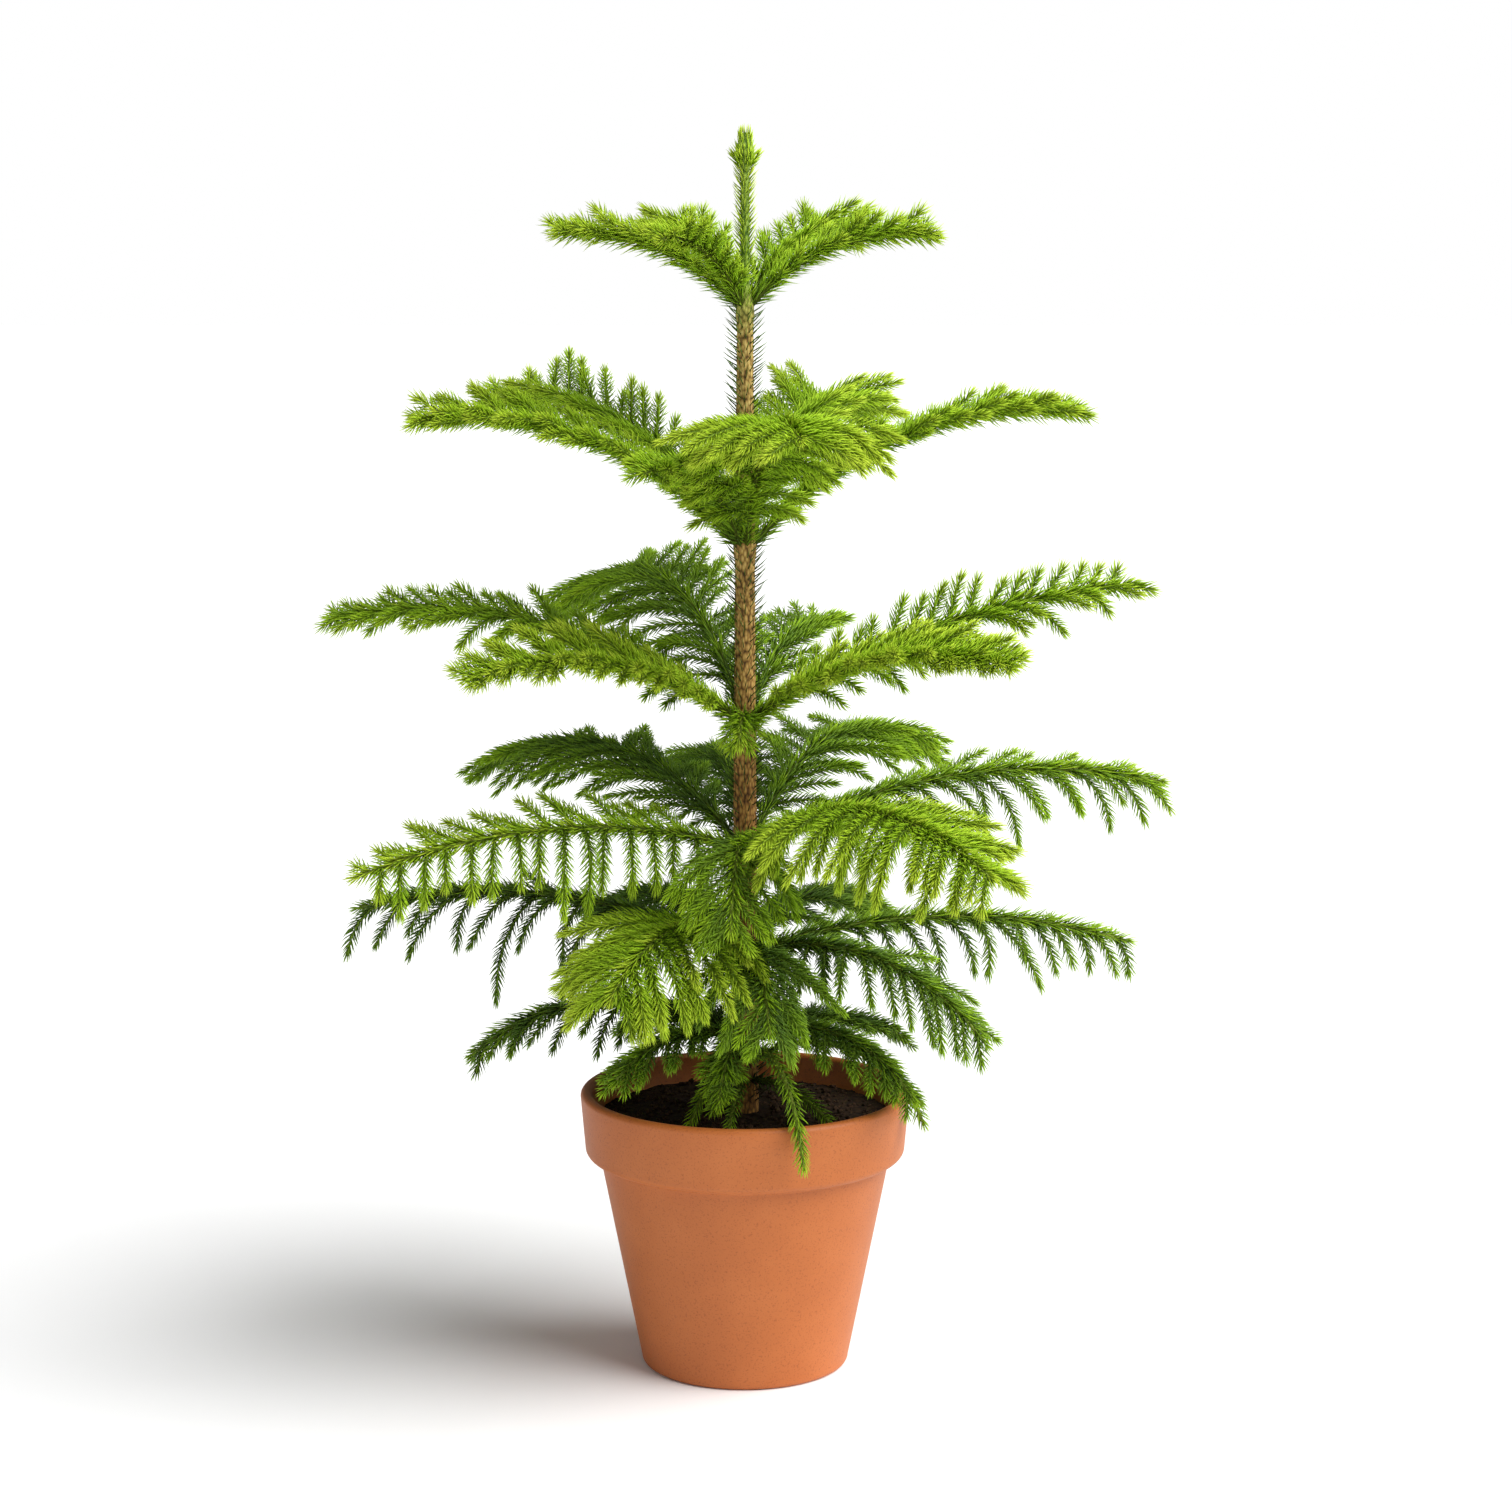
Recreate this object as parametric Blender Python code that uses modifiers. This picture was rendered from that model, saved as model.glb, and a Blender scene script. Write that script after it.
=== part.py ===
"""A young Norfolk pine in a terracotta pot.

The origin is the centre of the pot's underside, +Z up, metres.
The trunk stands in a pocket in the soil. Each branch is a flat frond: an axis
that leaves the trunk at its whorl, with two ranks of straight branchlets.
"""

import math

import bmesh
import bpy
import numpy as np
from mathutils import Vector

# Pot
pot_height = 0.153
rim_radius = 0.090
rim_band_height = 0.036
rim_band_taper = 0.0025
rim_wall = 0.0065
band_step = 0.0085
band_round = 0.003
foot_radius = 0.057
foot_round = 0.003
floor_wall = 0.004
floor_thickness = 0.009
floor_chamfer = 0.004
drain_hole_radius = 0.008
lip_round = 0.0024
round_steps = 3
turned_steps = 48

# Soil
soil_below_lip = 0.015
soil_mound = 0.003
mound_width = 0.012
fit_gap = 0.0003

# Trunk and its growing tip
trunk_foot_radius = 0.0075
trunk_top_radius = 0.0042
leader_length = 0.090
leader_radius = 0.0024
bud_length = 0.017
bud_radius = 0.0044
root_depth = 0.030
trunk_sides = 16

# Branches
axis_width = 0.0042
axis_height = 0.0042
axis_tip_width = 0.0022
branchlet_root = 0.0040
branchlet_tip = 0.0018
branchlet_clearance = 0.0012
shortest_branchlet = 0.008
bare_share = 0.10

lip_height = pot_height
soil_surface = pot_height - soil_below_lip

# Each tier: height of the whorl, stations along a branch, how far out the longest
# branchlets stand, as a share of a branch, and the branches.
# A branch: bearing, arc length, pitch at the trunk, pitch at the tip, forward sweep of
# its branchlets, longest branchlet of its left and of its right rank, lift of each rank.
# The shoots low on the trunk are grown first, so that the lowest tier keeps clear of them.
tiers = {
    "low_sprig": (lip_height + 0.017, 4, 0.4, [
        (240, 0.73 * rim_radius, 2, -52, 40, 0.013, 0.013, -6, -6),
        (287, 1.40 * rim_radius, 36, -74, 40, 0.014, 0.014, -6, -6),
        (341, 1.33 * rim_radius, 36, -68, 40, 0.014, 0.014, -6, -6),
    ]),
    "soil_sprig": (soil_surface + 0.021, 4, 0.4, [
        (262, 0.73 * rim_radius, 8, -38, 40, 0.012, 0.012, -4, -4),
        (314, 0.76 * rim_radius, 10, -36, 40, 0.014, 0.014, -4, -4),
    ]),
    "tier_1": (soil_surface + 0.440, 7, 0.6, [
        (1, 0.113, 50, -10, 46, 0.024, 0.024, 30, 16),
        (51, 0.116, 58, -22, 40, 0.028, 0.028, 32, 32),
        (124, 0.106, 60, -20, 40, 0.029, 0.029, 38, 38),
        (181, 0.112, 48, -6, 46, 0.024, 0.024, 16, 30),
        (236, 0.090, 56, -6, 42, 0.022, 0.022, 20, 20),
    ]),
    "tier_2": (soil_surface + 0.313, 8, 0.66, [
        (4, 0.200, 50, -6, 46, 0.030, 0.034, 18, 6),
        (67, 0.196, 66, -26, 42, 0.052, 0.052, 12, 8),
        (141, 0.208, 54, -10, 42, 0.046, 0.040, -2, 30),
        (190, 0.194, 50, -6, 48, 0.034, 0.032, 0, 22),
        (240, 0.120, 60, -12, 44, 0.044, 0.026, 4, 6),
        (280, 0.184, 64, -18, 30, 0.064, 0.068, -16, -14),
    ]),
    "tier_3": (soil_surface + 0.219, 8, 0.45, [
        (9, 0.228, 33, 4, 42, 0.028, 0.042, 50, -20),
        (68, 0.130, 50, -10, 42, 0.034, 0.034, 16, 10),
        (121, 0.220, 67, -38, 38, 0.062, 0.054, -24, 4),
        (172, 0.242, 38, -12, 44, 0.036, 0.028, -22, 18),
        (214, 0.180, 37, -14, 44, 0.032, 0.032, -6, 24),
        (266, 0.050, 30, -50, 42, 0.016, 0.016, -30, -30),
        (321, 0.184, 36, -8, 44, 0.034, 0.034, 24, -6),
    ]),
    "tier_4": (soil_surface + 0.150, 8, 0.4, [
        (13, 0.245, 27, -14, 48, 0.038, 0.054, 0, -42),
        (57, 0.210, 51, -34, 42, 0.056, 0.054, -8, -14),
        (98, 0.177, 40, -24, 40, 0.046, 0.046, -14, -14),
        (141, 0.196, 47, -28, 40, 0.066, 0.052, -16, -6),
        (205, 0.224, 18, -18, 20, 0.058, 0.036, -50, 12),
        (266, 0.118, 28, -58, 34, 0.052, 0.050, -34, -30),
        (309, 0.204, 34, -28, 24, 0.056, 0.070, -12, -26),
    ]),
    "tier_5": (soil_surface + 0.092, 8, 0.4, [
        (9, 0.218, 17, -18, 30, 0.036, 0.052, -10, -52),
        (62, 0.176, 28, -34, 40, 0.048, 0.048, -24, -24),
        (120, 0.176, 28, -34, 40, 0.048, 0.048, -24, -24),
        (173, 0.220, 26, -16, 38, 0.072, 0.042, -46, -6),
        (238, 0.142, 42, -44, 32, 0.072, 0.066, -26, -16),
        (277, 0.116, 28, -54, 36, 0.052, 0.052, -34, -30),
        (328, 0.160, 20, -46, 34, 0.044, 0.050, -14, -36),
    ]),
    "tier_6": (soil_surface + 0.044, 6, 0.4, [
        (326, 0.118, 30, -52, 40, 0.034, 0.034, -24, -24),
        (32, 0.108, 20, -36, 40, 0.028, 0.028, -8, -8),
        (80, 0.110, 20, -36, 40, 0.030, 0.030, -8, -8),
        (128, 0.116, 20, -36, 40, 0.030, 0.030, -8, -8),
        (180, 0.160, 34, -42, 36, 0.036, 0.032, -34, -18),
        (218, 0.092, 26, -42, 40, 0.032, 0.032, -16, -16),
        (258, 0.076, 22, -62, 36, 0.014, 0.020, -26, -26),
    ]),
}


def clear_scene():
    for ob in list(bpy.data.objects):
        bpy.data.objects.remove(ob, do_unlink=True)


def make_material(name, colour, roughness):
    mat = bpy.data.materials.new(name)
    mat.use_nodes = True
    shader = mat.node_tree.nodes["Principled BSDF"]
    shader.inputs["Base Color"].default_value = (*colour, 1)
    shader.inputs["Roughness"].default_value = roughness
    shader.inputs["Metallic"].default_value = 0
    return mat


def add_object(name, mesh, mat):
    ob = bpy.data.objects.new(name, mesh)
    mesh.materials.append(mat)
    plant.objects.link(ob)
    return ob


def arc(cx, cz, radius, start, end, steps):
    """Points round a quarter or half circle in the XZ plane, angles in degrees."""
    angles = np.radians(np.linspace(start, end, steps + 1))
    return [(cx + radius * math.cos(a), cz + radius * math.sin(a)) for a in angles]


def turned(name, profile, closed, mat, steps):
    """A profile of (x, z) points, running down its outer side, spun about Z."""
    bm = bmesh.new()
    verts = [bm.verts.new((x, 0, z)) for x, z in profile]
    for a, b in zip(verts, verts[1:]):
        bm.edges.new((a, b))
    if closed:
        bm.edges.new((verts[-1], verts[0]))
    mesh = bpy.data.meshes.new(name)
    bm.to_mesh(mesh)
    bm.free()
    ob = add_object(name, mesh, mat)
    screw = ob.modifiers.new("turn", "SCREW")
    screw.steps = steps
    screw.render_steps = steps
    screw.use_merge_vertices = True
    screw.merge_threshold = 0.00005
    screw.use_smooth_shade = True
    return ob


def inner_radius(z):
    """Radius of the pot's inside wall at a height, between floor and lip."""
    share = (z - floor_thickness) / (pot_height - floor_thickness)
    low = foot_radius - floor_wall
    return low + (rim_radius - rim_wall - low) * share


def make_pot():
    band_bottom = pot_height - rim_band_height
    band_low_radius = rim_radius - rim_band_taper
    lip_z = pot_height - lip_round
    lip = arc(rim_radius - lip_round, lip_z, lip_round, 90, 0, round_steps)
    band_edge = arc(
        band_low_radius - band_round, band_bottom + band_round, band_round, 0, -90, round_steps
    )
    body_top = (band_low_radius - band_step, band_bottom)
    foot = arc(foot_radius - foot_round, foot_round, foot_round, 0, -90, round_steps)
    drain = [(drain_hole_radius, 0), (drain_hole_radius, floor_thickness)]
    chamfer_top = floor_thickness + floor_chamfer
    inside = [
        (inner_radius(floor_thickness) - floor_chamfer, floor_thickness),
        (inner_radius(chamfer_top), chamfer_top),
    ]
    inner_lip = arc(
        rim_radius - rim_wall + lip_round, lip_z, lip_round, 180, 90, round_steps
    )
    profile = lip + band_edge + [body_top] + foot + drain + inside + inner_lip
    return turned("pot", profile, True, terracotta, turned_steps)


def trunk_radius(z):
    """Radius of the woody stem from the soil up to the top whorl."""
    share = (z - soil_surface) / (tiers["tier_1"][0] - soil_surface)
    return trunk_foot_radius + (trunk_top_radius - trunk_foot_radius) * max(share, 0)


def make_soil():
    bottom = floor_thickness + fit_gap
    pocket = trunk_foot_radius + fit_gap
    pocket_floor = soil_surface - root_depth
    edge = inner_radius(soil_surface) - 2 * fit_gap
    profile = [
        (0, pocket_floor),
        (pocket, pocket_floor),
        (pocket, soil_surface + soil_mound),
        (pocket + mound_width, soil_surface + soil_mound),
        (0.5 * edge, soil_surface + 0.4 * soil_mound),
        (edge, soil_surface),
        (inner_radius(bottom + floor_chamfer) - 2 * fit_gap, bottom + floor_chamfer),
        (inner_radius(bottom) - floor_chamfer - fit_gap, bottom),
        (0, bottom),
    ]
    return turned("soil", profile, False, potting_mix, turned_steps)


def make_trunk():
    foot = soil_surface - root_depth + fit_gap
    top_whorl = tiers["tier_1"][0]
    top = top_whorl + leader_length
    bud_foot = top - bud_length
    bud = [
        (0, top),
        (0.5 * bud_radius, top - 0.08 * bud_length),
        (0.9 * bud_radius, top - 0.3 * bud_length),
        (bud_radius, top - 0.55 * bud_length),
        (0.85 * bud_radius, bud_foot),
    ]
    leader = [
        (leader_radius, bud_foot - 0.004),
        (leader_radius, top_whorl + 0.012),
    ]
    wood = [
        (trunk_radius(z), z)
        for z in (top_whorl, *np.linspace(top_whorl - 0.02, soil_surface, 6))
    ]
    below = [(trunk_foot_radius, foot + 0.001), (0, foot)]
    return turned("trunk", bud + leader + wood + below, False, bark, trunk_sides)


def heading(bearing, pitch):
    b, p = math.radians(bearing), math.radians(pitch)
    return Vector((math.cos(b) * math.cos(p), math.sin(b) * math.cos(p), math.sin(p)))


def branch_axis(height, stations, branch):
    """Two points a station: where a pair of branchlets begins and ends on the axis."""
    bearing, length, pitch, tip_pitch = branch[:4]
    start = trunk_radius(height) + 2 * fit_gap
    at = Vector((start * math.cos(math.radians(bearing)),
                 start * math.sin(math.radians(bearing)), height))
    fractions = [0.0]
    for i in range(stations):
        middle = bare_share + (1 - bare_share) * (i + 0.5) / (stations + 0.3)
        half = branchlet_root / 2 / length
        fractions += [middle - half, middle + half]
    fractions.append(1.0)
    points = []
    done = 0.0
    steps = 4
    for share in fractions:
        for k in range(steps):
            t = done + (share - done) * (k + 0.5) / steps
            direction = heading(bearing, pitch + (tip_pitch - pitch) * t)
            at = at + direction * (share - done) * length / steps
        done = share
        forward = heading(bearing, pitch + (tip_pitch - pitch) * done)
        points.append((done, at.copy(), forward))
    return points


def branchlet_length(share, longest_at, longest):
    """Length of a branchlet that begins at this share of the axis."""
    if share < longest_at:
        return longest * (1 - longest_at * (1 - share / longest_at))
    return longest * (1 - 0.62 * ((share - longest_at) / (1 - longest_at)) ** 1.6)


def nearest(points, others):
    """The least gap between sample points and the segments (start, end, radius)."""
    a = np.array([o[0] for o in others])
    along = np.array([o[1] for o in others]) - a
    radii = np.array([o[2] for o in others])
    p = np.array(points)[:, None, :] - a[None]
    t = np.clip((p * along).sum(2) / np.maximum((along**2).sum(1), 1e-12), 0, 1)
    return float((np.linalg.norm(p - t[:, :, None] * along, axis=2) - radii).min())


def grown_tip(root, direction, length, others):
    """A branchlet's tip, which stops short of the shoots already in its way."""
    reach = branchlet_root * 0.75 + branchlet_clearance
    while length > shortest_branchlet:
        samples = [root + direction * length * k / 8 for k in range(1, 9)]
        if not others or nearest(samples, others) > reach:
            return root + direction * length
        length -= 0.004
    return None


def ring(face, centre, across, up, width, height):
    """Moves a four-sided face onto a rectangle, each corner to its own quarter."""
    middle = face.calc_center_median()
    for vert in face.verts:
        offset = vert.co - middle
        sx = 1 if offset.dot(across) > 0 else -1
        sy = 1 if offset.dot(up) > 0 else -1
        vert.co = centre + across * (sx * width / 2) + up * (sy * height / 2)


def extrude(bm, face):
    """Extrudes one face in place, and returns the new face at its end."""
    return bmesh.ops.extrude_discrete_faces(bm, faces=[face])["faces"][0]


def make_branch(name, height, stations, longest_at, branch, shoots):
    sweep = math.radians(branch[4])
    ranks = ((-1, branch[5], branch[7]), (1, branch[6], branch[8]))
    points = branch_axis(height, stations, branch)
    own = [
        (a[1], b[1], axis_width * 0.7) for a, b in zip(points, points[1:])
    ]
    bm = bmesh.new()
    share, at, forward = points[0]
    outward = Vector((forward.x, forward.y, 0)).normalized()
    across = outward.cross(Vector((0, 0, 1)))
    quad = bmesh.ops.create_circle(bm, cap_ends=True, segments=4, radius=axis_width)
    start = bm.faces[:][0]
    for vert, (sx, sy) in zip(quad["verts"], ((1, 1), (-1, 1), (-1, -1), (1, -1))):
        vert.co = at + across * (sx * axis_width / 2)
        vert.co.z += sy * axis_height / 2
    start.normal_update()
    if start.normal.dot(outward) < 0:
        start.normal_flip()
    back = start.copy(verts=True, edges=True)
    bmesh.ops.reverse_faces(bm, faces=[back])
    end = start
    pairs = []
    for step, (share, at, forward) in enumerate(points[1:], 1):
        width = axis_width + (axis_tip_width - axis_width) * share
        deep = axis_height + (axis_tip_width - axis_height) * share
        end = extrude(bm, end)
        up = across.cross(forward).normalized()
        ring(end, at, across, up, width, deep)
        if step % 2 == 0 and step < len(points) - 1:
            walls = [f for e in end.edges for f in e.link_faces if f != end]
            for side, longest, lift in ranks:
                wall_face = max(
                    walls, key=lambda f: (f.calc_center_median() - at).dot(across * side)
                )
                pairs.append((wall_face, side, longest, lift, share, forward.copy(), up))
    bmesh.ops.remove_doubles(bm, verts=bm.verts, dist=0.00001)
    for wall_face, side, longest, lift, share, forward, up in pairs:
        root = wall_face.calc_center_median()
        flat = across * side * math.cos(sweep) + forward * math.sin(sweep)
        raised = math.radians(lift)
        direction = flat.normalized() * math.cos(raised) + Vector((0, 0, 1)) * math.sin(raised)
        direction.normalize()
        tip = grown_tip(root, direction, branchlet_length(share, longest_at, longest), shoots)
        if tip is None:
            continue
        end = extrude(bm, wall_face)
        tip_across = (forward - direction * forward.dot(direction)).normalized()
        tip_up = direction.cross(tip_across).normalized()
        ring(end, tip, tip_across, tip_up, branchlet_tip, branchlet_tip)
        own.append((root, tip, branchlet_root * 0.75))
    shoots += own
    bmesh.ops.recalc_face_normals(bm, faces=bm.faces)
    mesh = bpy.data.meshes.new(name)
    bm.to_mesh(mesh)
    bm.free()
    return add_object(name, mesh, needles)


clear_scene()
plant = bpy.data.collections.new("potted_norfolk_pine")
bpy.context.scene.collection.children.link(plant)
terracotta = make_material("terracotta", (0.55, 0.17, 0.06), 0.7)
potting_mix = make_material("potting_mix", (0.03, 0.017, 0.01), 0.95)
bark = make_material("bark", (0.22, 0.10, 0.04), 0.85)
needles = make_material("needles", (0.07, 0.22, 0.02), 0.5)

make_pot()
make_soil()
make_trunk()
trunk_top = tiers["tier_1"][0] + leader_length
shoots = [(Vector((0, 0, soil_surface)), Vector((0, 0, trunk_top)), trunk_foot_radius)]
for tier, (height, stations, longest_at, branches) in tiers.items():
    label = tier if tier.endswith("sprig") else tier + "_branch"
    for number, branch in enumerate(branches, 1):
        make_branch(f"{label}_{number}", height, stations, longest_at, branch, shoots)
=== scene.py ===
import math
import random

import bmesh
import bpy
import numpy as np
from mathutils import Matrix, Vector, noise


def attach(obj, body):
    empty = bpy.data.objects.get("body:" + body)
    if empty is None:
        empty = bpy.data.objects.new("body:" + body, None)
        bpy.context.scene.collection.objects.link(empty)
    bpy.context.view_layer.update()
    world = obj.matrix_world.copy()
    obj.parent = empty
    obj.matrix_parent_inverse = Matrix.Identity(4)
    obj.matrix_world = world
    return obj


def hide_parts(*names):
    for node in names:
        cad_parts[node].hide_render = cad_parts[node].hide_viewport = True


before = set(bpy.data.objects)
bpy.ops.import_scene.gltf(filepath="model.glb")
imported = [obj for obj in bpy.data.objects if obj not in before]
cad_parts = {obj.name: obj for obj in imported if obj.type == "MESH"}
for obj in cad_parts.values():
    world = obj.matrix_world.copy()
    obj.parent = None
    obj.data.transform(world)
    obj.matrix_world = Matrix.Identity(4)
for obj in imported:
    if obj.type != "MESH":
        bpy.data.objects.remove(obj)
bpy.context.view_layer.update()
scene = bpy.context.scene


# Colour, nodes and objects

def linear(hexColour):
    channels = [int(hexColour[i:i + 2], 16) / 255 for i in (1, 3, 5)]
    return (*[c / 12.92 if c <= 0.04045 else ((c + 0.055) / 1.055) ** 2.4 for c in channels], 1)


def addNode(tree, kind, settings=None, links=None):
    # A setting is a property or an input of the node, by name or by number where names
    # repeat; "stops" fills a colour ramp. A link is an input and where it comes from.
    node = tree.nodes.new(kind)
    for name, value in (settings or {}).items():
        if name == "stops":
            elements = node.color_ramp.elements
            while len(elements) < len(value):
                elements.new(0.5)
            for element, (position, colour) in zip(elements, value):
                element.position = position
                element.color = linear(colour)
        elif isinstance(name, str) and hasattr(node, name):
            setattr(node, name, value)
        else:
            node.inputs[name].default_value = value
    for name, (source, output) in (links or {}).items():
        tree.links.new(source.outputs[output], node.inputs[name])
    return node


def newMaterial(name, roughness, specular):
    material = bpy.data.materials.new(name)
    material.use_nodes = True
    tree = material.node_tree
    shader = tree.nodes["Principled BSDF"]
    shader.inputs["Roughness"].default_value = roughness
    shader.inputs["Specular IOR Level"].default_value = specular
    return material, tree, shader


def addObject(name, mesh, material):
    piece = bpy.data.objects.new(name, mesh)
    mesh.materials.append(material)
    scene.collection.objects.link(piece)
    return piece


def addPiece(name, mesh, material, replaced=()):
    piece = addObject(name, mesh, material)
    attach(piece, "root")
    if replaced:
        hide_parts(*replaced)
    return piece


def toMesh(name, bm):
    mesh = bpy.data.meshes.new(name)
    bm.to_mesh(mesh)
    bm.free()
    return mesh


def shadeSmooth(mesh):
    mesh.polygons.foreach_set("use_smooth", [True] * len(mesh.polygons))


def readPoints(mesh):
    flat = np.zeros(len(mesh.vertices) * 3, np.float32)
    mesh.vertices.foreach_get("co", flat)
    return flat.reshape(-1, 3).astype(float)


def writePoints(mesh, points):
    mesh.vertices.foreach_set("co", points.astype(np.float32).ravel())
    mesh.update()


# Stage: a white floor under a soft key light from the right and a weak fill from the left

stageSettings = {
    "camera": (0, -1.75, 0.60),
    "cameraPitch": 8.55,
    "lens": 78.1,
    "shiftX": 0.0073,
    "floorSide": 60,
    "clipEnd": 200,
    "floorColour": "#fafafa",
    "skyColour": "#ffffff",
    "skyStrength": 0.20,
    "keyStrength": 4.8,
    "keyAngle": 60,
    "keyElevation": 48,
    "keyBearing": -18,
    "fillStrength": 0.36,
    "fillAngle": 60,
    "fillElevation": 8,
    "fillBearing": -140,
}


def addSun(name, strength, angle, elevation, bearing):
    # The bearing is where the light comes from, anticlockwise from +X.
    light = bpy.data.lights.new(name, "SUN")
    light.energy = strength
    light.angle = math.radians(angle)
    lamp = bpy.data.objects.new(name, light)
    lamp.rotation_euler = (0, math.radians(90 - elevation), math.radians(bearing))
    scene.collection.objects.link(lamp)


def buildStage():
    s = stageSettings
    camera = bpy.data.objects.new("camera", bpy.data.cameras.new("camera"))
    camera.location = s["camera"]
    camera.rotation_euler = (math.radians(90 - s["cameraPitch"]), 0, 0)
    camera.data.lens = s["lens"]
    camera.data.shift_x = s["shiftX"]
    camera.data.clip_end = s["clipEnd"]
    scene.collection.objects.link(camera)
    scene.camera = camera
    scene.view_settings.view_transform = "Standard"

    world = bpy.data.worlds.new("studio")
    world.use_nodes = True
    scene.world = world
    tree = world.node_tree
    tree.nodes.clear()
    # The camera sees plain white past the floor, while the plant gets a dimmer sky.
    sky, seen = [
        addNode(tree, "ShaderNodeBackground", {"Color": linear(s["skyColour"]), "Strength": strength})
        for strength in (s["skyStrength"], 1)
    ]
    path = addNode(tree, "ShaderNodeLightPath")
    mixed = addNode(tree, "ShaderNodeMixShader", links={
        0: (path, "Is Camera Ray"), 1: (sky, 0), 2: (seen, 0)})
    addNode(tree, "ShaderNodeOutputWorld", links={"Surface": (mixed, 0)})

    for lamp in ("key", "fill"):
        addSun(lamp, *[s[lamp + part] for part in ("Strength", "Angle", "Elevation", "Bearing")])

    # Painted white board: matt, with no visible grain at this distance.
    material, tree, shader = newMaterial("white painted board", 0.9, 0.2)
    shader.inputs["Base Color"].default_value = linear(s["floorColour"])
    bm = bmesh.new()
    bmesh.ops.create_grid(bm, x_segments=1, y_segments=1, size=s["floorSide"] / 2)
    floor = addObject("floor", toMesh("floor", bm), material)


buildStage()
print("stage built")


# Turned shapes

def arc(cx, cz, radius, start, end, steps):
    angles = np.radians(np.linspace(start, end, steps + 1))
    return [(cx + radius * math.cos(a), cz + radius * math.sin(a)) for a in angles]


def spun(name, profile, closed, steps):
    # A profile of (x, z) points in the XZ plane, turned once about Z.
    bm = bmesh.new()
    verts = [bm.verts.new((x, 0, z)) for x, z in profile]
    edges = [bm.edges.new(pair) for pair in zip(verts, verts[1:])]
    if closed:
        edges.append(bm.edges.new((verts[-1], verts[0])))
    bmesh.ops.spin(bm, geom=verts + edges, cent=(0, 0, 0), axis=(0, 0, 1), dvec=(0, 0, 0),
                   angle=math.tau, steps=steps, use_merge=True)
    bmesh.ops.remove_doubles(bm, verts=bm.verts, dist=1e-5)
    bmesh.ops.recalc_face_normals(bm, faces=bm.faces)
    mesh = toMesh(name, bm)
    shadeSmooth(mesh)
    return mesh


def subdivided(points, longest):
    # Adds points so that no step of a profile is longer than this.
    out = [points[0]]
    for a, b in zip(points, points[1:]):
        parts = max(1, math.ceil(math.dist(a, b) / longest))
        out += [tuple(np.add(a, np.subtract(b, a) * k / parts)) for k in range(1, parts + 1)]
    return out


# Pot

potSettings = {
    "height": 0.153,
    "rimRadius": 0.090,
    "bandHeight": 0.036,
    "bandTaper": 0.0025,
    "bandStep": 0.0085,
    "bandRound": 0.0045,
    "coveRound": 0.003,
    "wall": 0.0065,
    "footRadius": 0.057,
    "footRound": 0.0034,
    "floorWall": 0.004,
    "floorThickness": 0.009,
    "floorChamfer": 0.004,
    "drainRadius": 0.008,
    "lipRound": 0.003,
    "longestStep": 0.006,
    "steps": 192,
}


def innerRadius(z):
    s = potSettings
    low = s["footRadius"] - s["floorWall"]
    share = (z - s["floorThickness"]) / (s["height"] - s["floorThickness"])
    return low + (s["rimRadius"] - s["wall"] - low) * share


def terracotta():
    # Unglazed terracotta, thrown and fired: matt and chalky, with a soft mottle about
    # 34 mm wide, a fine grain of grog and faint level rings 4 mm apart from the wheel.
    material, tree, shader = newMaterial("unglazed terracotta", 0.52, 0.45)
    place = addNode(tree, "ShaderNodeTexCoord")
    mottle = addNode(tree, "ShaderNodeTexNoise", {
        "Scale": 1 / 0.034, "Detail": 3, "Roughness": 0.55}, {"Vector": (place, "Object")})
    colour = addNode(tree, "ShaderNodeValToRGB", {"stops": [
        (0.28, "#b6642b"), (0.50, "#ba672d"), (0.74, "#bf6c32")]}, {0: (mottle, 0)})
    # Grog is 0.3 mm across; it is drawn at 1 mm so that it shows.
    grain = addNode(tree, "ShaderNodeTexNoise", {
        "Scale": 1 / 0.001, "Detail": 2, "Roughness": 0.6}, {"Vector": (place, "Object")})
    speck = addNode(tree, "ShaderNodeValToRGB", {"stops": [
        (0.28, "#d9d0ca"), (0.45, "#ffffff")]}, {0: (grain, 0)})
    mixed = addNode(tree, "ShaderNodeMix", {
        "data_type": "RGBA", "blend_type": "MULTIPLY", 0: 1.0}, {6: (colour, 0), 7: (speck, 0)})
    tree.links.new(mixed.outputs[2], shader.inputs["Base Color"])
    stretched = addNode(tree, "ShaderNodeMapping", {
        "Scale": (1 / 0.2, 1 / 0.2, 1 / 0.004)}, {"Vector": (place, "Object")})
    rings = addNode(tree, "ShaderNodeTexNoise", {"Scale": 1, "Detail": 1}, {
        "Vector": (stretched, 0)})
    rippled = addNode(tree, "ShaderNodeBump", {"Strength": 0.5, "Distance": 0.00025}, {
        "Height": (rings, 0)})
    rough = addNode(tree, "ShaderNodeBump", {"Strength": 0.5, "Distance": 0.00012}, {
        "Height": (grain, 0), "Normal": (rippled, 0)})
    tree.links.new(rough.outputs[0], shader.inputs["Normal"])
    return material


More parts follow.
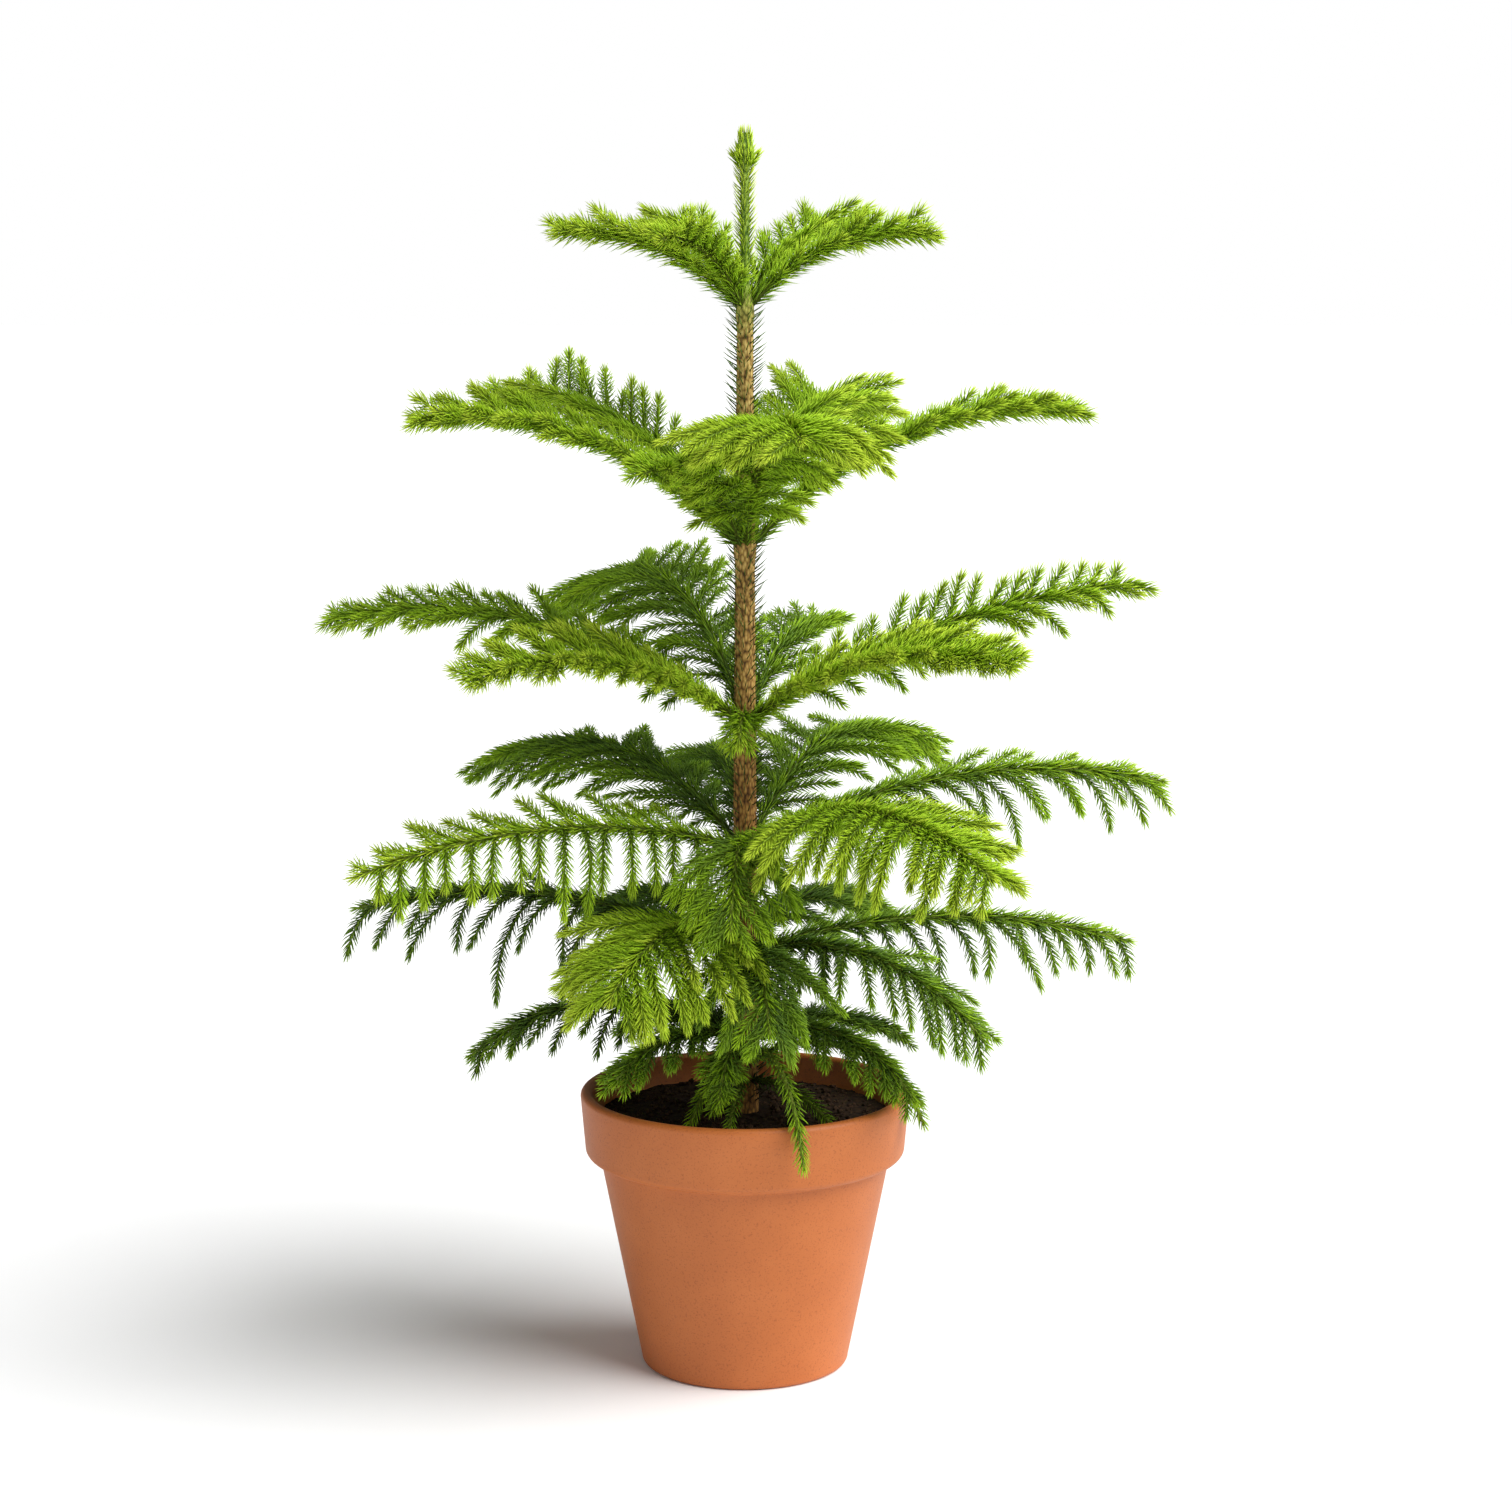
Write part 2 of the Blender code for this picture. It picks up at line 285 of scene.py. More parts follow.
def buildPot():
    s = potSettings
    rim, low, chamfer = s["rimRadius"], s["rimRadius"] - s["bandTaper"], s["floorChamfer"]
    lipRound, bandRound, cove, foot = s["lipRound"], s["bandRound"], s["coveRound"], s["footRound"]
    lipZ = s["height"] - lipRound
    bandBottom = s["height"] - s["bandHeight"]
    floorZ = s["floorThickness"]
    profile = [
        *arc(rim - lipRound, lipZ, lipRound, 90, 0, 8),
        *arc(low - bandRound, bandBottom + bandRound, bandRound, 0, -90, 10),
        *arc(low - s["bandStep"] + cove, bandBottom - cove, cove, 90, 176, 6),
        *arc(s["footRadius"] - foot, foot, foot, 0, -90, 8),
        (s["drainRadius"], 0),
        (s["drainRadius"], floorZ),
        (innerRadius(floorZ) - chamfer, floorZ),
        (innerRadius(floorZ + chamfer), floorZ + chamfer),
        *arc(rim - s["wall"] + lipRound, lipZ, lipRound, 180, 90, 8),
    ]
    mesh = spun("clayPot", subdivided(profile, s["longestStep"]), True, s["steps"])
    addPiece("clayPot", mesh, terracotta(), ["pot"])


buildPot()
print("pot built")


# Soil

soilSettings = {
    "surface": 0.138,
    "mound": 0.003,
    "moundRadius": 0.08,
    "pocket": 0.0078,
    "pocketDepth": 0.030,
    "gap": 0.0003,
    "clod": 0.006,
    "clodHeight": 0.0011,
    "clodOctaves": 3,
    "longestStep": 0.0016,
    "steps": 160,
    "crumbs": 900,
    "crumbRadius": (0.0008, 0.0026),
    "crumbsFrom": 0.012,
    "crumbsFromEdge": 0.001,
    "seed": 11,
}


def pottingMix(name, dark, light):
    # Peat and bark potting mix, damp and dark brown, its colour set by the lumps' height:
    # near black between lumps, painted shade, and brown where a lump catches the light,
    # painted light; rough enough to have no highlight.
    material, tree, shader = newMaterial(name, 0.95, 0.15)
    place = addNode(tree, "ShaderNodeTexCoord")
    # Lumps in the mix are about 4 mm across.
    lumps = addNode(tree, "ShaderNodeTexNoise", {
        "Scale": 1 / 0.004, "Detail": 4, "Roughness": 0.7}, {"Vector": (place, "Object")})
    # Painted shade in the hollows between lumps and painted light on their tops.
    colour = addNode(tree, "ShaderNodeValToRGB", {"stops": [
        (0.35, dark), (0.62, light)]}, {0: (lumps, 0)})
    tree.links.new(colour.outputs[0], shader.inputs["Base Color"])
    bump = addNode(tree, "ShaderNodeBump", {"Strength": 0.8, "Distance": 0.0008}, {
        "Height": (lumps, 0)})
    tree.links.new(bump.outputs[0], shader.inputs["Normal"])
    return material


def soilHeight(x, y):
    s = soilSettings
    r = math.hypot(x, y)
    dome = s["mound"] * max(0, 1 - r / s["moundRadius"])
    clods = noise.fractal(Vector((x, y, 0)) / s["clod"], 1, 2, s["clodOctaves"])
    return s["surface"] + dome + s["clodHeight"] * clods


def soilEdge():
    return innerRadius(soilSettings["surface"]) - 2 * soilSettings["gap"]


def buildSoil():
    s = soilSettings
    chamfer = potSettings["floorChamfer"]
    floorZ = potSettings["floorThickness"] + s["gap"]
    pocketZ = s["surface"] - s["pocketDepth"]
    top = s["surface"] + s["mound"]
    profile = [
        (0, pocketZ),
        (s["pocket"], pocketZ),
        (s["pocket"], top),
        *subdivided([(s["pocket"] + 0.001, top), (soilEdge(), s["surface"])], s["longestStep"]),
        (innerRadius(floorZ + chamfer) - 2 * s["gap"], floorZ + chamfer),
        (innerRadius(floorZ) - chamfer - s["gap"], floorZ),
        (0, floorZ),
    ]
    mesh = spun("soilBed", profile, False, s["steps"])
    points = readPoints(mesh)
    for i in np.flatnonzero(points[:, 2] > s["surface"] - 0.001):
        points[i, 2] = soilHeight(points[i, 0], points[i, 1])
    writePoints(mesh, points)
    material = pottingMix("damp peat mix", "#17100a", "#3a291b")
    addPiece("soilBed", mesh, material, ["soil"])


def buildCrumbs():
    # Loose bark crumbs, each half sunk in the soil and of its own shape.
    s = soilSettings
    edge = soilEdge()
    chance = random.Random(s["seed"])
    bm = bmesh.new()
    made = 0
    while made < s["crumbs"]:
        x, y = chance.uniform(-edge, edge), chance.uniform(-edge, edge)
        size = chance.uniform(*s["crumbRadius"]) * chance.uniform(0.5, 1)
        if not s["crumbsFrom"] < math.hypot(x, y) < edge - size - s["crumbsFromEdge"]:
            continue
        made += 1
        turn = Matrix.Rotation(chance.uniform(0, math.tau), 4, "Z")
        turn = turn @ Matrix.Rotation(chance.uniform(0, 3), 4, "X")
        squash = Matrix.Diagonal((1, chance.uniform(0.5, 1), chance.uniform(0.5, 0.9), 1))
        lift = Matrix.Translation((x, y, soilHeight(x, y) + 0.25 * size))
        lump = bmesh.ops.create_icosphere(bm, subdivisions=1, radius=size,
                                          matrix=lift @ turn @ squash)
        for vert in lump["verts"]:
            vert.co += Vector([chance.uniform(-0.2, 0.2) * size for _ in range(3)])
    material = pottingMix("bark crumbs", "#1d130c", "#4c3828")
    addPiece("soilCrumbs", toMesh("soilCrumbs", bm), material)


buildSoil()
buildCrumbs()
print("soil built")


# Trunk

trunkSettings = {
    "footRadius": 0.0075,
    "topRadius": 0.0042,
    "topWhorl": 0.578,
    "top": 0.668,
    "leaderRadius": 0.0023,
    "budRadius": 0.0044,
    "budLength": 0.017,
    "foot": 0.1083,
    "sides": 32,
    "longestStep": 0.0014,
    "scaleRows": 8,
    "scaleLength": 0.0055,
    "scaleDepth": 0.00045,
    "knotHeight": 0.0010,
    "knotLength": 0.006,
    # The bud's outline: shares of its radius, and depths below the top.
    "budOutline": ((0, 0), (0.35, 0.0008), (0.62, 0.0028), (0.86, 0.0060), (0.9, 0.0095)),
    # The heights where the tiers grow, each with a ring of swollen wood.
    "whorls": (0.578, 0.451, 0.357, 0.288, 0.230, 0.182),
}


def trunkRadius(z):
    s = trunkSettings
    low = soilSettings["surface"]
    share = np.clip((z - low) / (s["topWhorl"] - low), 0, 1)
    return s["footRadius"] + (s["topRadius"] - s["footRadius"]) * share


def youngBark():
    # Young conifer bark: tan plates with dark slits where leaf bases overlap, 1.6 mm wide
    # and 3.6 mm tall, paler and yellower up the stem, and green skin where the leader is
    # this year's growth.
    material, tree, shader = newMaterial("young pine bark", 0.8, 0.3)
    place = addNode(tree, "ShaderNodeTexCoord")
    plates = addNode(tree, "ShaderNodeMapping", {
        "Scale": (1 / 0.0016, 1 / 0.0016, 1 / 0.0036)}, {"Vector": (place, "Object")})
    cells = addNode(tree, "ShaderNodeTexVoronoi", {"Scale": 1, "Randomness": 0.8}, {
        "Vector": (plates, 0)})
    wood = addNode(tree, "ShaderNodeValToRGB", {"stops": [
        (0.20, "#bf8f4c"), (0.48, "#9c6d36"), (0.72, "#61401f"), (0.90, "#35210f")]}, {
        0: (cells, 0)})
    paleWood = addNode(tree, "ShaderNodeValToRGB", {"stops": [
        (0.20, "#d6bb72"), (0.50, "#b08f4c"), (0.74, "#6c5226"), (0.92, "#3c2c14")]}, {
        0: (cells, 0)})
    skin = addNode(tree, "ShaderNodeValToRGB", {"stops": [
        (0.25, "#9db84a"), (0.70, "#4c6a22")]}, {0: (cells, 0)})
    # The heights between which the bark turns pale, and then green.
    height = addNode(tree, "ShaderNodeSeparateXYZ", links={0: (place, "Object")})
    paling = addNode(tree, "ShaderNodeMapRange", {1: 0.30, 2: 0.52}, {0: (height, 2)})
    green = addNode(tree, "ShaderNodeMapRange", {1: 0.560, 2: 0.590}, {0: (height, 2)})
    bark = addNode(tree, "ShaderNodeMix", {"data_type": "RGBA"}, {
        0: (paling, 0), 6: (wood, 0), 7: (paleWood, 0)})
    mixed = addNode(tree, "ShaderNodeMix", {"data_type": "RGBA"}, {
        0: (green, 0), 6: (bark, 2), 7: (skin, 0)})
    tree.links.new(mixed.outputs[2], shader.inputs["Base Color"])
    bump = addNode(tree, "ShaderNodeBump", {"Strength": 0.6, "Distance": 0.0006, "invert": True}, {
        "Height": (cells, 0)})
    tree.links.new(bump.outputs[0], shader.inputs["Normal"])
    return material


def buildTrunk():
    s = trunkSettings
    soilZ = soilSettings["surface"]
    budFoot = s["top"] - s["budLength"]
    # From the top down: bud, leader, wood and the foot in the soil.
    profile = [
        *[(share * s["budRadius"], s["top"] - depth) for share, depth in s["budOutline"]],
        (0.7 * s["budRadius"], budFoot),
        (s["leaderRadius"], budFoot - 0.004),
        (s["leaderRadius"] * 1.1, s["topWhorl"] + 0.012),
        (s["topRadius"], s["topWhorl"] + 0.002),
        (s["footRadius"], soilZ),
        (s["footRadius"], s["foot"] + 0.001),
        (0, s["foot"]),
    ]
    mesh = spun("stem", subdivided(profile, s["longestStep"]), False, s["sides"])
    points = readPoints(mesh)
    x, y, z = points.T
    # Overlapping leaf bases in crossed spirals, fading out at the soil and the leader.
    rows = s["scaleRows"] / 2 * np.arctan2(y, x)
    climb = math.pi * z / s["scaleLength"]
    relief = np.abs(np.cos(rows + climb)) * np.abs(np.cos(rows - climb))
    woody = np.clip((s["topWhorl"] + 0.004 - z) / 0.01, 0, 1) * np.clip((z - soilZ) / 0.004, 0, 1)
    knots = np.zeros(len(z))
    for whorl in s["whorls"]:
        knots += s["knotHeight"] * np.exp(-((z - whorl + 0.002) / s["knotLength"]) ** 2)
    radius = np.hypot(x, y)
    grown = radius + woody * (knots + s["scaleDepth"] * (relief - 0.4))
    onAxis = 0.0005
    scale = np.where(radius > onAxis, grown / np.maximum(radius, onAxis), 1)
    points[:, :2] *= scale[:, None]
    writePoints(mesh, points)
    addPiece("stem", mesh, youngBark(), ["trunk"])


buildTrunk()
print("trunk built")


# Foliage

foliageSettings = {
    # A needle: its width in metres, then its thickness, fullest part and bend as shares.
    "needleWidth": 0.00082,
    "needleThickness": 0.75,
    "needleBulge": 0.86,
    "needleWaist": 0.55,
    "needleBend": 0.10,
    # Needles on a stem: degrees from one to the next, and how much one differs.
    "spiral": 137.508,
    "spiralStray": 14,
    "fewest": 6,
    "needleLengths": (0.86, 1.1),
    "needleFreshStray": 0.14,
    # Towards a shoot's tip its needles close up round the bud and shorten.
    "closingFrom": 0.7,
    "closingPower": 1.4,
    "closingShrink": 0.3,
    "rootShrink": 0.2,
    "rootShare": 0.25,
    "classes": (0.012, 0.017, 0.023, 0.030, 0.038, 0.047, 0.058, 0.070),
    "variants": 2,
    "stemRadii": (0.00096, 0.00048),
    "sleeve": 0.020,
    # A branch: its twig, where its shoots start, and how they vary along it.
    "twigRadii": (0.0018, 0.0009),
    "routeSteps": 48,
    "bareShare": 0.10,
    "tipNeedles": 0.006,
    "tipShoot": 0.021,
    "sleeveEnd": 0.018,
    "plushFrom": 0.58,
    "rankStagger": 0.22,
    "stationStray": 0.12,
    "degreesStray": 12,
    "sweepGain": 18,
    "sweepMiddle": 0.4,
    "tipShortening": 0.62,
    "tipPower": 1.6,
    "longest": 1.1,
    "ragged": 0.22,
    "hangingRagged": 0.5,
    "hangingLift": -40,
    # How far a shoot bows, in degrees, and from what length it bows in full.
    "bow": 8,
    "hangingBow": 0.6,
    "bowLength": 0.04,
    "bowRange": (0.7, 1.2),
    # Freshness: how it rises along a branch, strays, and falls where shoots hang, which
    # counts from the first to the second number of degrees below level.
    "freshGain": 0.14,
    "freshStray": 0.06,
    "hangingAge": 0.14,
    "hangingSpan": (20, 50),
    "sleeveFresh": (-0.10, 0.10),
    "tipFresh": 0.08,
    "freshRange": (0.18, 0.8),
    "kitSeeds": {"sleeve": 900, "sprig": 950},
    "seed": 5,
}

# How needles clothe a stem: how many a metre, their length, how far they lean from the
# stem in degrees, their lean at its tip where they close up there, and how far from the
# middle of the stem they start, at its root and at its tip.
dresses = {
    "plush": {"perMetre": 3000, "size": 0.0092, "lean": (34, 54), "tipLean": 16,
              "reach": (0.0006, 0.0003)},
    "feather": {"perMetre": 2500, "size": 0.0082, "lean": (34, 50), "tipLean": 14,
                "reach": (0.0006, 0.0003)},
    "sleeve": {"perMetre": 4200, "size": 0.0104, "lean": (28, 56), "tipLean": None,
               "reach": (0.0010, 0.0010)},
    "sprig": {"perMetre": 2300, "size": 0.0085, "lean": (34, 52), "tipLean": None,
              "reach": (0.0009, 0.0009)},
}

# How the map's u is laid out: the stalest needles, with the most painted shade, at
# "needles" and the freshest, with the most painted light, a "needleSpan" further on,
# each needle's own u moving it within a "needleSpread" of that, and past them the
# stems of shoots and the twigs of branches.
mapSettings = {
    "needles": 0.05,
    "needleSpan": 0.78,
    "needleSpread": 0.34,
    "stem": 0.925,
    "twig": 0.975,
    # A kit stem's u starts here, so that it can be told from its needles'.
    "kitStem": 3.0,
    "width": 0.006,
}

# Each tier: height of its whorl, how far out its longest shoots stand, as a share of a
# branch, and its branches. A branch: bearing, arc length, pitch at the trunk, pitch at
# the tip, how far its shoots sweep forward, longest shoot of its left and of its right
# rank, lift of each rank, step between shoots in millimetres, and how fresh its needles
# are, from 0 to 1, which also carries painted light, raised on branches in light at the
# front, and painted shade, lowered on branches at the back. Left and right are seen
# looking outward. A sprig is one bare shoot and has no step.
tiers = {
    "tier_1": (0.578, 0.60, [
        (1, 0.113, 50, -10, 46, 0.024, 0.024, 30, 16, 10, 0.68),
        (51, 0.116, 58, -22, 40, 0.028, 0.028, 32, 32, 9.5, 0.68),
        (124, 0.106, 60, -20, 40, 0.029, 0.029, 38, 38, 9.5, 0.68),
        (181, 0.112, 48, -6, 46, 0.024, 0.024, 16, 30, 10, 0.72),
        (236, 0.090, 56, -6, 42, 0.022, 0.022, 20, 20, 9.5, 0.72),
    ]),
    "tier_2": (0.451, 0.66, [
        (4, 0.200, 50, -6, 46, 0.030, 0.034, 18, 6, 8, 0.66),
        (67, 0.196, 66, -26, 42, 0.052, 0.052, 12, 8, 7.5, 0.70),
        (141, 0.208, 54, -10, 42, 0.046, 0.040, -2, 30, 10, 0.66),
        (190, 0.194, 50, -6, 48, 0.034, 0.032, 0, 22, 8, 0.68),
        (240, 0.120, 60, -12, 44, 0.044, 0.026, 4, 6, 8, 0.60),
        (280, 0.184, 64, -18, 30, 0.064, 0.068, -16, -14, 6.5, 0.74),
    ]),
    "tier_3": (0.357, 0.45, [
        (9, 0.228, 33, 4, 42, 0.028, 0.042, 50, -20, 12, 0.66),
        (68, 0.130, 50, -10, 42, 0.034, 0.034, 16, 10, 10, 0.50),
        (121, 0.220, 67, -38, 38, 0.062, 0.054, -24, 4, 6, 0.54),
        (172, 0.242, 38, -12, 44, 0.036, 0.028, -22, 18, 10, 0.60),
        (214, 0.180, 37, -14, 44, 0.032, 0.032, -6, 24, 7, 0.86),
        (266, 0.050, 30, -50, 42, 0.016, 0.016, -30, -30, 12, 0.66),
        (321, 0.184, 36, -8, 44, 0.034, 0.034, 24, -6, 7, 0.86),
    ]),
    "tier_4": (0.288, 0.40, [
        (13, 0.245, 27, -14, 48, 0.038, 0.054, 0, -42, 12, 0.57),
        (57, 0.210, 51, -34, 42, 0.056, 0.054, -8, -14, 8.5, 0.54),
        (98, 0.177, 40, -24, 40, 0.046, 0.046, -14, -14, 10, 0.40),
        (141, 0.196, 47, -28, 40, 0.066, 0.052, -16, -6, 7, 0.44),
        (205, 0.224, 18, -18, 20, 0.058, 0.036, -50, 12, 13, 0.74),
        (266, 0.118, 28, -58, 34, 0.052, 0.050, -34, -30, 9, 0.54),
        (309, 0.204, 34, -28, 24, 0.056, 0.070, -12, -26, 6.5, 0.78),
    ]),
    "tier_5": (0.230, 0.40, [
        (9, 0.218, 17, -18, 30, 0.036, 0.052, -10, -52, 13, 0.50),
        (62, 0.176, 28, -34, 40, 0.048, 0.048, -24, -24, 11, 0.38),
        (120, 0.176, 28, -34, 40, 0.048, 0.048, -24, -24, 11, 0.34),
        (173, 0.220, 26, -16, 38, 0.072, 0.042, -46, -6, 15, 0.30),
        (238, 0.142, 42, -44, 32, 0.072, 0.066, -26, -16, 6.5, 0.78),
        (277, 0.116, 28, -54, 36, 0.052, 0.052, -34, -30, 8.5, 0.44),
        (328, 0.160, 20, -46, 34, 0.044, 0.050, -14, -36, 11.5, 0.40),
    ]),
    "tier_6": (0.182, 0.40, [
        (326, 0.118, 30, -52, 40, 0.034, 0.034, -24, -24, 10, 0.42),
        (32, 0.108, 20, -36, 40, 0.028, 0.028, -8, -8, 11, 0.30),
        (80, 0.110, 20, -36, 40, 0.030, 0.030, -8, -8, 11, 0.26),
        (128, 0.116, 20, -36, 40, 0.030, 0.030, -8, -8, 11, 0.26),
        (180, 0.160, 34, -42, 36, 0.036, 0.032, -34, -18, 11.5, 0.32),
        (218, 0.092, 26, -42, 40, 0.032, 0.032, -16, -16, 10, 0.42),
        (258, 0.076, 22, -62, 36, 0.014, 0.020, -26, -26, 8, 0.46),
    ]),
    "low_sprig": (0.170, 0.40, [
        (240, 0.0657, 2, -52, 40, 0.013, 0.013, -6, -6, 0, 0.50),
        (287, 0.1260, 36, -74, 40, 0.014, 0.014, -6, -6, 0, 0.50),
        (341, 0.1197, 36, -68, 40, 0.014, 0.014, -6, -6, 0, 0.42),
    ]),
    "soil_sprig": (0.159, 0.40, [
        (262, 0.0657, 8, -38, 40, 0.012, 0.012, -4, -4, 0, 0.42),
        (314, 0.0684, 10, -36, 40, 0.014, 0.014, -4, -4, 0, 0.40),
    ]),
}


def pineNeedles():
    # Living conifer needles: a waxy skin with a broad soft sheen. The map's u is how
    # fresh a needle is, and also painted light and shade: from old dull green, also used as
    # painted shade on branches at the back, to this year's yellow-green, also used as painted
    # light on branches at the front, with the stem's and twig's greens past 0.9, and its v
    # runs from a needle's base to its tip.
    material, tree, shader = newMaterial("waxy pine needles", 0.55, 0.15)
    place = addNode(tree, "ShaderNodeUVMap", {"uv_map": "OFBake"})
    axes = addNode(tree, "ShaderNodeSeparateXYZ", links={0: (place, 0)})
    freshAndLight = addNode(tree, "ShaderNodeValToRGB", {"stops": [
        (0.00, "#3f4f2b"), (0.26, "#658836"), (0.56, "#aad626"), (0.88, "#def24c"),
        (0.905, "#86a636"), (0.945, "#86a636"), (0.955, "#75862f"), (1.00, "#75862f")]}, {
        0: (axes, 0)})
    along = addNode(tree, "ShaderNodeValToRGB", {"stops": [
        (0.00, "#a8a890"), (0.45, "#e6e6dc"), (1.00, "#ffffff")]}, {0: (axes, 1)})
    mixed = addNode(tree, "ShaderNodeMix", {
        "data_type": "RGBA", "blend_type": "MULTIPLY", 0: 1.0}, {6: (freshAndLight, 0), 7: (along, 0)})
    tree.links.new(mixed.outputs[2], shader.inputs["Base Color"])
    return material


def mappedBmesh():
    bm = bmesh.new()
    bm.loops.layers.uv.new("OFBake")
    return bm


def setMap(bm, faces, place):
    # place gives the (u, v) of a vertex.
    layer = bm.loops.layers.uv["OFBake"]
    for face in faces:
        for loop in face.loops:
            loop[layer].uv = place(loop.vert)


def needleMesh():
    # One needle a unit long, up Z: three sides and fullest near its middle; addNeedle bends its tip
    # to +X.
    s = foliageSettings
    bm = mappedBmesh()
    bmesh.ops.create_cone(bm, cap_ends=True, segments=3, radius1=0.5, radius2=0, depth=1,
                          matrix=Matrix.Translation((0, 0, 0.5)))
    bmesh.ops.remove_doubles(bm, verts=bm.verts, dist=0.0001)
    bmesh.ops.bisect_plane(bm, geom=bm.verts[:] + bm.edges[:] + bm.faces[:],
                           plane_co=(0, 0, s["needleWaist"]), plane_no=(0, 0, 1))
    for vert in bm.verts:
        if 0 < round(vert.co.z, 3) < 1:
            vert.co.xy *= s["needleBulge"] / (1 - s["needleWaist"])
        vert.co.y *= s["needleThickness"]
    bmesh.ops.recalc_face_normals(bm, faces=bm.faces)
    # Each edge of the needle has its own u and v, so that no face's map is a line.
    corner = {}
    for vert in bm.verts:
        turn = math.atan2(vert.co.y, vert.co.x) if vert.co.xy.length > 0.01 else 0
        v = vert.co.z + (0.04 if abs(turn) < 0.1 else 0)
        corner[vert] = (0.022 * round(turn / (math.tau / 3)), min(v, 1))
    setMap(bm, bm.faces, lambda vert: corner[vert])
    return toMesh("needle", bm)


def addNeedle(bm, needle, matrix, width, bend, freshAndLight):
    # A needle's own length is its matrix's scale; width and bend are shares of that.
    verts, faces = len(bm.verts), len(bm.faces)
    bm.from_mesh(needle)
    bm.verts.ensure_lookup_table()
    bm.faces.ensure_lookup_table()
    new = bm.verts[verts:]
    for vert in new:
        vert.co = Vector((vert.co.x * width + bend * vert.co.z ** 2, vert.co.y * width, vert.co.z))
    bmesh.ops.transform(bm, matrix=matrix, verts=new)
    layer = bm.loops.layers.uv["OFBake"]
    for face in bm.faces[faces:]:
        for loop in face.loops:
            loop[layer].uv.x += freshAndLight


def needlesAlong(bm, needle, length, dress, chance):
    # A spiral of needles round the X axis, from 0 to length.
    s = foliageSettings
    count = max(s["fewest"], int(length * dress["perMetre"]))
    rootReach, tipReach = dress["reach"]
    for i in range(count):
        share = (i + 0.5) / count
        tilt = chance.uniform(*dress["lean"])
        long = dress["size"] * chance.uniform(*s["needleLengths"])
        if dress["tipLean"] is not None:
            closing = max(0, (share - s["closingFrom"]) / (1 - s["closingFrom"]))
            tilt += (dress["tipLean"] - tilt) * closing ** s["closingPower"]
            long *= 1 - s["rootShrink"] * (1 - min(1, share / s["rootShare"]))
            long *= 1 - s["closingShrink"] * closing
        turn = math.radians(s["spiral"] * i + chance.uniform(-s["spiralStray"], s["spiralStray"]))
        matrix = (
            Matrix.Translation((length * share, 0, 0)) @ Matrix.Rotation(turn, 4, "X")
            @ Matrix.Translation((0, 0, rootReach + (tipReach - rootReach) * share))
            @ Matrix.Rotation(math.radians(90 - tilt), 4, "Y")
            @ Matrix.Scale(long, 4)
        )
        freshAndLight = share + chance.uniform(-s["needleFreshStray"], s["needleFreshStray"])
        addNeedle(bm, needle, matrix, s["needleWidth"] / long, s["needleBend"], freshAndLight)


def addStem(bm, length, radii, sides, rings, mapFrom):
    # A closed tapering stem along X, cut into rings so that it can bend.
    verts, faces = len(bm.verts), len(bm.faces)
    matrix = Matrix.Translation((length / 2, 0, 0)) @ Matrix.Rotation(math.pi / 2, 4, "Y")
    bmesh.ops.create_cone(bm, cap_ends=True, segments=sides, radius1=radii[0], radius2=radii[1],
                          depth=length, matrix=matrix)
    bm.verts.ensure_lookup_table()
    bm.faces.ensure_lookup_table()
    new = bm.verts[verts:]
    for k in range(1, rings):
        geom = set(new)
        geom.update(e for v in new for e in v.link_edges)
        geom.update(f for v in new for f in v.link_faces)
        cut = bmesh.ops.bisect_plane(bm, geom=list(geom), plane_co=(length * k / rings, 0, 0),
                                     plane_no=(1, 0, 0))
        new += [g for g in cut["geom_cut"] if isinstance(g, bmesh.types.BMVert)]
    newFaces = {f for v in new for f in v.link_faces}
    setMap(bm, newFaces, lambda vert: (
        mapFrom + mapSettings["width"] * math.atan2(vert.co.z, vert.co.y) / math.pi,
        min(max(vert.co.x / length, 0), 1) * 0.9 + (0.05 if vert.co.z > 0 else 0)))


def shootMesh(needle, length, dress, seed):
    bm = mappedBmesh()
    addStem(bm, length, foliageSettings["stemRadii"], 5, 4, mapSettings["kitStem"])
    needlesAlong(bm, needle, length, dress, random.Random(seed))
    return toMesh("shoot", bm)


def sleeveMesh(needle, dress, seed):
    bm = mappedBmesh()
    needlesAlong(bm, needle, foliageSettings["sleeve"], dress, random.Random(seed))
    return toMesh("sleeve", bm)


def placeOnMap(u, freshAndLight):
    # A kit mesh's u, moved to where its stem's colour or this freshness, with any painted light and
    # shade it carries, lies on the map.
    m = mapSettings
    onStem = u - m["kitStem"] + m["stem"]
    onNeedle = m["needles"] + m["needleSpan"] * (freshAndLight + m["needleSpread"] * (u - 0.5))
    return np.where(u > m["kitStem"] - 1, onStem, onNeedle)


def readMap(mesh):
    flat = np.zeros(len(mesh.loops) * 2, np.float32)
    mesh.uv_layers["OFBake"].data.foreach_get("uv", flat)
    return flat.reshape(-1, 2)


def writeMap(mesh, places):
    mesh.uv_layers["OFBake"].data.foreach_set("uv", places.ravel())


def ageMesh(mesh, freshAndLight):
    places = readMap(mesh)
    places[:, 0] = placeOnMap(places[:, 0], freshAndLight)
    writeMap(mesh, places)


